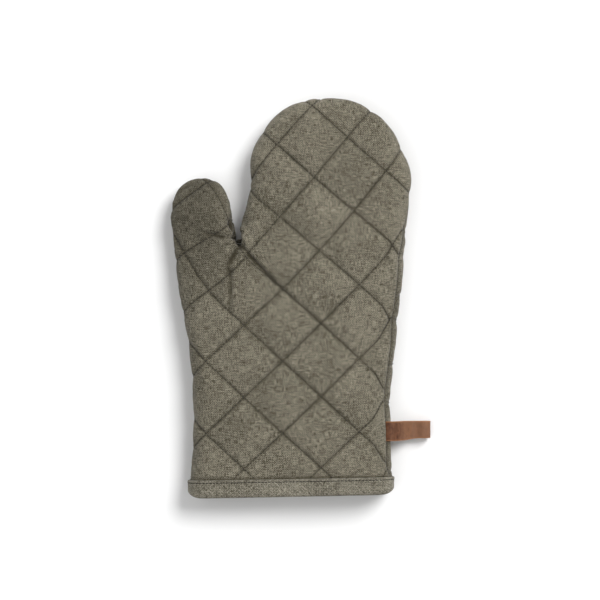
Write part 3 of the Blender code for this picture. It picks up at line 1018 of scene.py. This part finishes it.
def melange(name, dark, light, slub, turn=0.0, lines=True):
    """Plain-woven cloth of mixed dark and light threads, with pale slubs. With lines it gets painted shade in its
    grooves, seam, creases and at the binding's edge, and painted shade towards the thumb.
    """
    shader = Shader(name)
    flat = shader.add("ShaderNodeUVMap", uv_map="flat").outputs[0]
    per = 1 / THREAD_WIDTH
    straight = shader.stretched(flat, (1.0, 1.0, 1.0), turn)
    warp = shader.noise(shader.stretched(straight, (per, per / 9, 1.0)), 1.0, 2.0, 0.6)
    weft = shader.noise(shader.stretched(straight, (per / 10, per, 4.0)), 1.0, 2.0, 0.6)
    fleck = shader.noise(shader.stretched(straight, (per * 0.8, per * 0.8, 1.0)), 1.0, 2.0, 0.6)
    cloud = shader.noise(flat, 26.0, 3.0, 0.55)
    parts = shader.add("ShaderNodeSeparateXYZ", {"Vector": straight})
    wave_x = shader.math("SINE", shader.math("MULTIPLY", parts.outputs[0], per * 0.62 * math.pi))
    wave_y = shader.math("SINE", shader.math("MULTIPLY", parts.outputs[1], per * 0.62 * math.pi))
    checker = shader.math("MULTIPLY", wave_x, wave_y)
    total = shader.math("ADD", shader.math("MULTIPLY", warp, 1.1), shader.math("MULTIPLY", weft, 1.2))
    total = shader.math("ADD", total, shader.math("MULTIPLY", fleck, 1.3))
    total = shader.math("ADD", total, shader.math("MULTIPLY", cloud, 0.38))
    total = shader.math("ADD", total, shader.math("MULTIPLY", checker, 0.17))
    share = shader.span(total, 1.71, 2.36)
    colour = shader.mix(share, dark, light)
    pale = shader.noise(shader.stretched(straight, (200.0, per * 0.6, 1.0)), 1.0, 1.0, 0.5)
    colour = shader.mix(shader.span(pale, 0.74, 0.82, 0.0, 0.6), colour, slub)
    pale_up = shader.noise(shader.stretched(straight, (per * 0.6, 230.0, 3.0)), 1.0, 1.0, 0.5)
    colour = shader.mix(shader.span(pale_up, 0.75, 0.82, 0.0, 0.45), colour, slub)
    if lines:
        # Painted shade: the cloth is multiplied darker towards the thumb's side and on the thumb's upper part,
        # standing in for the shade on the sloping thumb.
        place = shader.add("ShaderNodeSeparateXYZ", {"Vector": flat})
        towards = shader.span(place.outputs[0], -0.085, 0.03)
        high = shader.math("MULTIPLY", shader.span(place.outputs[1], 0.13, 0.2),
                           shader.span(place.outputs[0], -0.035, -0.06))
        deep = shader.math("ADD", shader.span(towards, 0, 1, 0.16, 0.0), shader.math("MULTIPLY", high, 0.32))
        colour = shader.mix(deep, colour, (0.10, 0.095, 0.075, 1), "MULTIPLY")
        # Painted shade: where the line attribute is low (the quilting's grooves, the seam, the deeper creases and the
        # binding's edge) the cloth is coloured dark.
        place = shader.add("ShaderNodeAttribute", attribute_name="line").outputs["Fac"]
        drawn = shader.math("MULTIPLY", shader.math("POWER", shader.span(place, -1.2, 2.2, 1.0, 0.0), 1.2), 0.92)
        colour = shader.mix(drawn, colour, tone(50, 45, 31))
    shader.link(colour, "Base Color")
    shader.link(shader.span(share, 0, 1, 0.98, 0.86), "Roughness")
    weave = shader.math("ADD", shader.math("MULTIPLY", checker, 0.5), shader.math("MULTIPLY", total, 0.8))
    shader.link(shader.bump(weave, 0.00016, 0.9), "Normal")
    shader.bsdf.inputs["Sheen Weight"].default_value = 0.12
    shader.bsdf.inputs["Sheen Roughness"].default_value = 0.5
    shader.bsdf.inputs["Specular IOR Level"].default_value = 0.2
    return shader.material


def thread_material():
    shader = Shader("thread_olive")
    place = shader.add("ShaderNodeTexCoord").outputs["Object"]
    shade = shader.noise(place, 900.0, 2.0, 0.6)
    shader.link(shader.mix(shader.span(shade, 0.3, 0.7), tone(14, 11, 6), tone(34, 29, 19)), "Base Color")
    twist = shader.noise(place, 4200.0, 1.0, 0.5)
    shader.link(shader.bump(twist, 0.00008, 0.7), "Normal")
    shader.bsdf.inputs["Roughness"].default_value = 0.75
    return shader.material


def wadding_material():
    shader = Shader("wadding_white")
    place = shader.add("ShaderNodeTexCoord").outputs["Object"]
    tufts = shader.noise(place, 600.0, 5.0, 0.7)
    shader.link(shader.mix(shader.span(tufts, 0.3, 0.7), tone(205, 202, 194), tone(236, 234, 229)), "Base Color")
    shader.link(shader.bump(tufts, 0.0006, 0.8), "Normal")
    shader.bsdf.inputs["Roughness"].default_value = 1.0
    return shader.material


def leather_material():
    shader = Shader("leather_brown")
    flat = shader.add("ShaderNodeUVMap", uv_map="flat").outputs[0]
    mottle = shader.noise(flat, 260.0, 5.0, 0.62)
    streak = shader.noise(shader.stretched(flat, (420.0, 90.0, 1.0)), 1.0, 3.0, 0.6)
    body = shader.mix(shader.span(mottle, 0.32, 0.68), tone(57, 30, 15), tone(95, 57, 34))
    body = shader.mix(shader.span(streak, 0.35, 0.75, 0.0, 0.5), body, tone(122, 82, 55))
    # Painted shade: the strap is left darker for its first and last centimetre or two, where it leaves the mitt's
    # side, and is lighter beyond.
    reach = shader.add("ShaderNodeSeparateXYZ", {"Vector": flat}).outputs[0]
    beyond_mitt_shade = shader.math("MULTIPLY", shader.span(reach, 0.012, 0.022), shader.span(reach, 0.088, 0.078))
    body = shader.mix(shader.math("MULTIPLY", beyond_mitt_shade, 0.36), body, tone(156, 116, 88))
    edge = shader.add("ShaderNodeAttribute", attribute_name="edge").outputs["Fac"]
    worn = shader.math("MULTIPLY", shader.span(edge, 0.3, 0.9), shader.span(mottle, 0.3, 0.6, 0.6, 1.0))
    body = shader.mix(worn, body, tone(152, 104, 68))
    shader.link(body, "Base Color")
    pores = shader.add("ShaderNodeTexVoronoi", {"Vector": flat, "Scale": 1500.0}).outputs["Distance"]
    normal = shader.bump(pores, 0.00012, 0.55)
    wrinkle = shader.noise(flat, 520.0, 4.0, 0.65)
    shader.link(shader.bump(wrinkle, 0.00035, 0.6, normal), "Normal")
    shader.link(shader.span(mottle, 0.3, 0.7, 0.66, 0.5), "Roughness")
    shader.bsdf.inputs["Specular IOR Level"].default_value = 0.28
    return shader.material


def lining_material():
    shader = Shader("lining_cotton")
    flat = shader.add("ShaderNodeUVMap", uv_map="flat").outputs[0]
    across = shader.noise(shader.stretched(flat, (2600.0, 60.0, 1.0)), 1.0, 2.0, 0.6)
    down = shader.noise(shader.stretched(flat, (60.0, 2600.0, 1.0)), 1.0, 2.0, 0.6)
    threads = shader.math("ADD", across, down)
    shader.link(shader.mix(shader.span(threads, 0.7, 1.3), tone(196, 188, 168), tone(226, 220, 204)), "Base Color")
    shader.link(shader.bump(threads, 0.00012, 0.8), "Normal")
    shader.bsdf.inputs["Roughness"].default_value = 0.95
    return shader.material


def wear(obj, material):
    obj.data.materials.clear()
    obj.data.materials.append(material)
    for face in obj.data.polygons:
        if face.material_index:
            face.material_index = 0


# ------------------------------------------------------------------ how the pieces are set in place


def move_with_hand(obj):
    """The mitten part of a sheet: bakes its place into its mesh."""
    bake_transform(obj)


def move_with_thumb(obj):
    """The thumb of a sheet: bakes its place into its mesh."""
    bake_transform(obj)


def move_with_loop(obj):
    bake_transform(obj)


MOVES = (move_with_hand, move_with_thumb)
PARTS = ("hand", "thumb")
NODE_PARTS = {"hand": ("hand", "fingers"), "thumb": ("thumb",)}


def nodes_of(layer, panel, part):
    return [f"{panel}_{layer}_{node}" for node in NODE_PARTS[part]]


def ride_hand(obj):
    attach(obj, "hand")


def dress(obj, material, nodes, move):
    """Gives a finished piece its material, hides the CAD nodes that it stands for, and sets it in place with its move
    function.
    """
    wear(obj, material)
    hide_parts(*nodes)
    move(obj)


# ------------------------------------------------------------------ the outer cloth's pieces

CLOTH = melange("outer_melange", tone(44, 39, 25), tone(152, 146, 129), tone(186, 181, 167))
TAPE = melange("binding_melange", tone(56, 52, 40), tone(154, 149, 134), tone(192, 188, 174), math.radians(45), False)
THREAD = thread_material()
WADDING = wadding_material()
LINING = lining_material()
LEATHER = leather_material()

made = finished_shell()
pucker(made)
cloth_tree = surface_tree([made])
names = [f"{panel}_cloth_{part}" for panel in ("palm", "back") for part in PARTS]
cloths = cut_pieces(made, names)
for k, obj in enumerate(cloths):
    panel, part = ("palm", "back")[k // 2], PARTS[k % 2]
    dress(obj, CLOTH, nodes_of("outer", panel, part), MOVES[k % 2])

for side, panel, shift in PANELS:
    plan, faces = panel_plan(CLOTH_STEP, shift)
    flat = pattern_place(plan, 1)
    thumb = on_thumb(plan, faces)

    plan, faces = panel_plan(LINING_STEP, shift)
    flat = pattern_place(plan, 1, LINING_RIM_DEPTH)
    line = np.minimum(quilt_distance(pattern_place(plan), shift), rim_place(plan)[0] + 0.5)
    near_rim = 1.7 * np.exp(-rim_place(plan)[0] / 5)
    dip = 1.3 * np.maximum(creased(plan), 0) if side > 0 else 0
    dip += 2.6 * np.exp(-(np.linalg.norm(plan - CROTCH + (-5, 13), axis=1) / 17) ** 2)
    top_depth = under_depth(line, *PAD_TOP) + near_rim + dip
    bottom_depth = np.maximum(under_depth(line, *PAD_BOTTOM), top_depth + 0.4)
    lining_depth = np.maximum(under_depth(line, *LINING_DEPTH), bottom_depth + 0.5)
    top, bottom, inner = [under_points(plan, side, depth) for depth in (top_depth, bottom_depth, lining_depth)]
    thumb = on_thumb(plan, faces)
    for k, chosen in enumerate((~thumb, thumb)):
        part = PARTS[k]
        pad = closed_sheet(f"{panel}_wadding_pad_{part}", faces[chosen], side, top, bottom)
        turn_out(pad)
        dress(pad, WADDING, nodes_of("wadding", panel, part), MOVES[k])
        inside = plain_sheet(f"{panel}_lining_{part}_cloth", plan, faces[chosen], side, inner, flat)
        finish_smooth(inside)
        dress(inside, LINING, nodes_of("lining", panel, part), MOVES[k])

    rows = quilting_places(side, shift, cloth_tree)
    thumb = beside_thumb(rows[:, :2])
    for k, chosen in enumerate((~thumb, thumb)):
        part = PARTS[k]
        picked = rows[chosen]
        stitches = dashes(f"{panel}_quilting_stitches_{part}", picked[:, 2:5], picked[:, 5:8], picked[:, 8:])
        dress(stitches, THREAD, nodes_of("quilting", panel, part), MOVES[k])

# ------------------------------------------------------------------ the seam's stitches

course = evenly(OUTLINE, 3.0)
course = course[(course[:, 1] > BINDING_DEPTH) & (np.linalg.norm(course - CROTCH, axis=1) > 4)]
_, inwards, index = rim_place(course)
angle = seam_angle(index)
seam_points = drape(course, 1)
seam_points[:, :2] += edge_pull(course)
seam_along = unit(np.gradient(seam_points, axis=0))
seam_out = unit(np.column_stack([-inwards * np.cos(angle)[:, None], np.sin(angle)]))
seam_points = on_surface(cloth_tree, seam_points, seam_out, 0.05)
thumb = (np.arange(len(course)) < np.linalg.norm(course - CROTCH, axis=1).argmin()) & beside_thumb(course)
for part, chosen, nodes in (
    ("hand", ~thumb, ("seam_thread_left", "seam_thread_crotch", "seam_thread_fingers", "seam_thread_right")),
    ("thumb", thumb, ("seam_thread_thumb",)),
):
    stitches = dashes(f"seam_stitches_{part}", seam_points[chosen], seam_along[chosen], seam_out[chosen], 2.1, 0.24)
    dress(stitches, THREAD, nodes, MOVES[PARTS.index(part)])

# ------------------------------------------------------------------ binding and loop

tape, tape_flat = binding()
dress(tape, TAPE, ["cuff_binding"], ride_hand)

stitches = topstitch(surface_tree([tape.data]))
dress(stitches, THREAD, ["binding_stitching"], ride_hand)

strap = hanging_loop()
dress(strap, LEATHER, ["hanging_loop"], move_with_loop)

# ------------------------------------------------------------------ floor, light and camera

def big_plane(name, size, height):
    half = size / 2
    mesh = bpy.data.meshes.new(name)
    mesh.from_pydata([(-half, -half, height), (half, -half, height), (half, half, height), (-half, half, height)],
                     [], [(0, 1, 2, 3)])
    return linked(name, mesh)


BACKDROP_RADIUS = 6.0
BACKDROP_SIDES = 64
floor = big_plane("floor", 2.2 * BACKDROP_RADIUS, 0.0)
paint = Shader("floor_white")
paint.bsdf.inputs["Base Color"].default_value = (0.9, 0.9, 0.9, 1)
paint.bsdf.inputs["Roughness"].default_value = 0.9
paint.bsdf.inputs["Specular IOR Level"].default_value = 0.1
floor.data.materials.append(paint.material)


def soft_light(name, place, power, spread):
    data = bpy.data.lights.new(name, "SUN")
    data.energy = power
    data.angle = math.radians(spread)
    linked(name, data).rotation_euler = Vector(place).to_track_quat("Z", "Y").to_euler()


soft_light("key", (1.0, 1.0, 1.6), 2.7, 30)
soft_light("fill", (-0.9, -0.3, 2.1), 0.5, 50)

# A pale wall all round, which only the camera sees: it lights nothing.
turns = np.linspace(0, 2 * math.pi, BACKDROP_SIDES + 1)[:-1]
ring = np.column_stack([BACKDROP_RADIUS * np.cos(turns), BACKDROP_RADIUS * np.sin(turns)])
mesh = bpy.data.meshes.new("backdrop")
mesh.from_pydata([(x, y, z) for z in (-0.01, 4.0) for x, y in ring], [],
                 [(i, (i + 1) % BACKDROP_SIDES, (i + 1) % BACKDROP_SIDES + BACKDROP_SIDES, i + BACKDROP_SIDES)
                  for i in range(BACKDROP_SIDES)])
backdrop = linked("backdrop", mesh)
paint = Shader("backdrop_white")
paint.bsdf.inputs["Base Color"].default_value = (0, 0, 0, 1)
paint.bsdf.inputs["Emission Color"].default_value = (1, 1, 1, 1)
paint.bsdf.inputs["Emission Strength"].default_value = 0.92
paint.bsdf.inputs["Specular IOR Level"].default_value = 0.0
mesh.materials.append(paint.material)
for rays in ("visible_diffuse", "visible_glossy", "visible_shadow", "visible_transmission"):
    setattr(backdrop, rays, False)

world = bpy.data.worlds.new("studio")
bpy.context.scene.world = world
world.use_nodes = True
world.node_tree.nodes["Background"].inputs["Color"].default_value = (1, 1, 1, 1)
world.node_tree.nodes["Background"].inputs["Strength"].default_value = 0.45

# The camera looks straight down from far above, as the photo's does.
scene = bpy.context.scene
scene.view_settings.view_transform = "Standard"
camera = linked("camera", bpy.data.cameras.new("camera"))
camera.data.lens = 198.5
camera.data.sensor_width = 36
camera.location = (0.0001, -0.0021, 2.515)
camera.data.clip_end = 50
scene.camera = camera
